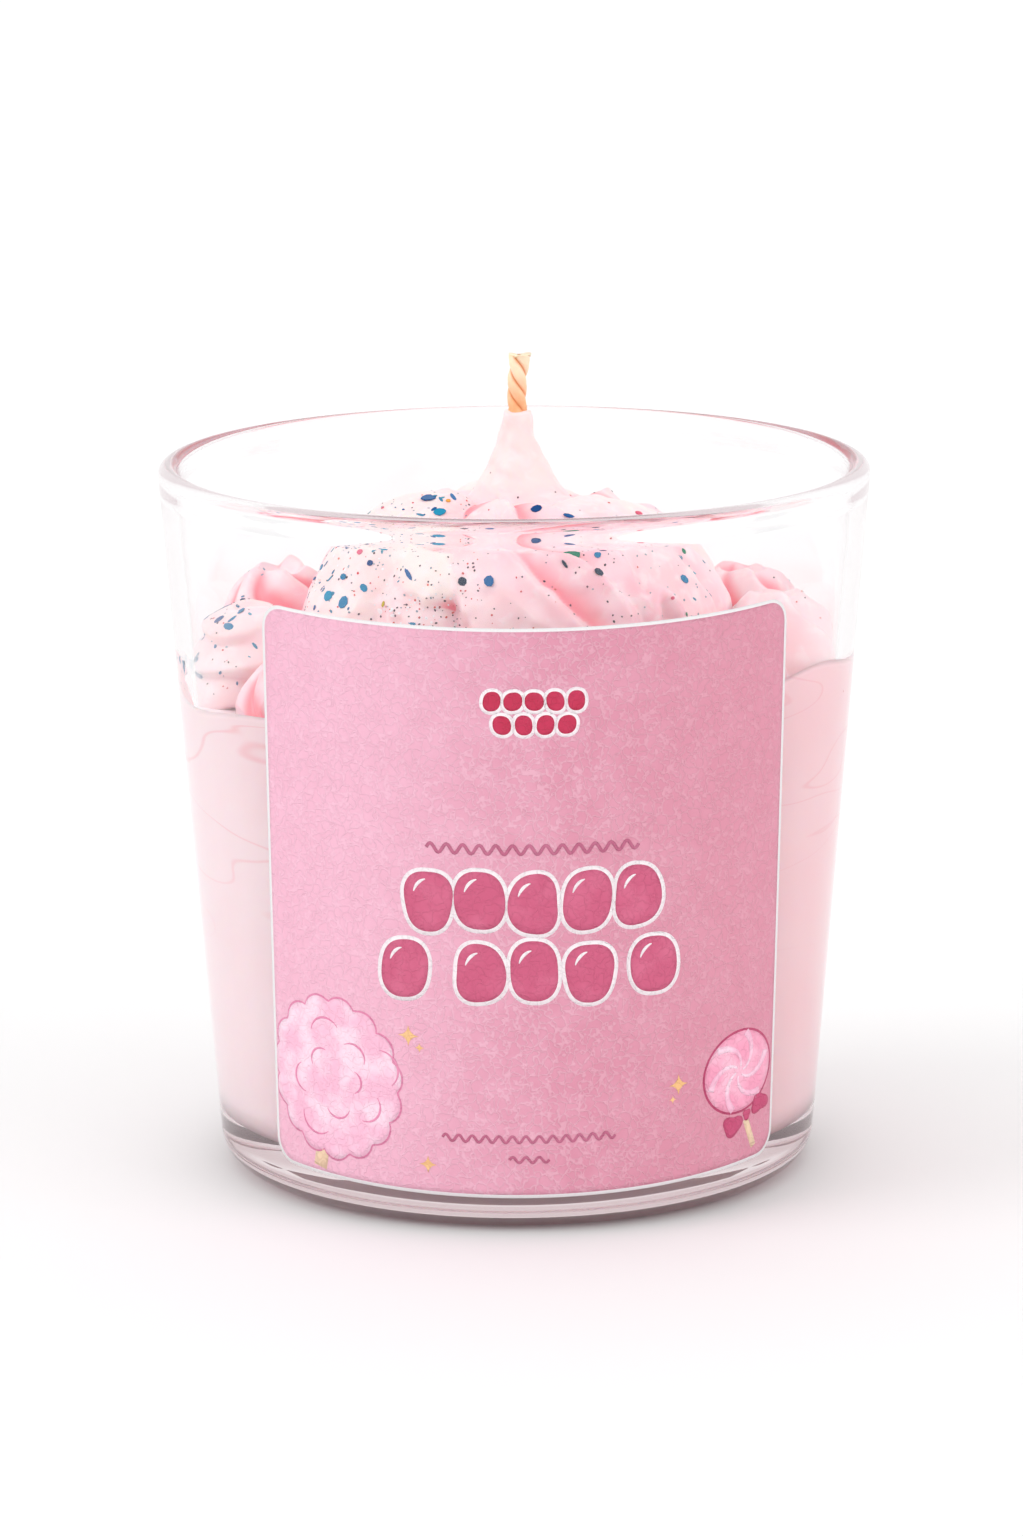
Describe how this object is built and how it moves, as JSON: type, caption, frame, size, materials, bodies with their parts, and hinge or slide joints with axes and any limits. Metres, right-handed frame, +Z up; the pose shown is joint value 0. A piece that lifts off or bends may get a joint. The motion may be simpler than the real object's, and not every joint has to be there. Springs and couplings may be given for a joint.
{
  "type": "scented candle in glass",
  "caption": "Scented candle of pink wax in a tapered clear glass tumbler, topped with piped whipped wax drawn up round a twisted wick, with a blank paper label.",
  "frame": {"origin": "centre of the glass's foot, on the surface that it stands on", "axes": "+Z up along the axis of the glass; -Y is the front, where the label is; +X is to the right of someone who looks at the label"},
  "size_m": [0.088, 0.088, 0.1017],
  "materials": {
    "clear_glass": "clear pressed glass, fire-polished rim",
    "poured_wax": "smooth pale pink wax, slightly translucent",
    "whipped_wax": "pink and cream whipped wax with a soft satin gloss, strewn with fine flakes",
    "wick_cotton": "twisted cotton, waxed",
    "label_paper": "pink embossed paper with a white edge, printed with plain shapes"
  },
  "bodies": {
    "root": {"glass": "clear_glass", "poured_wax": "poured_wax", "centre_swirl": "whipped_wax", "rosette_1": "whipped_wax", "rosette_2": "whipped_wax", "rosette_3": "whipped_wax", "rosette_4": "whipped_wax", "rosette_5": "whipped_wax", "rosette_6": "whipped_wax", "rosette_7": "whipped_wax", "rosette_8": "whipped_wax", "rosette_9": "whipped_wax", "rosette_10": "whipped_wax", "rosette_11": "whipped_wax", "wick": "wick_cotton", "label": "label_paper"}
  },
  "joints": []
}
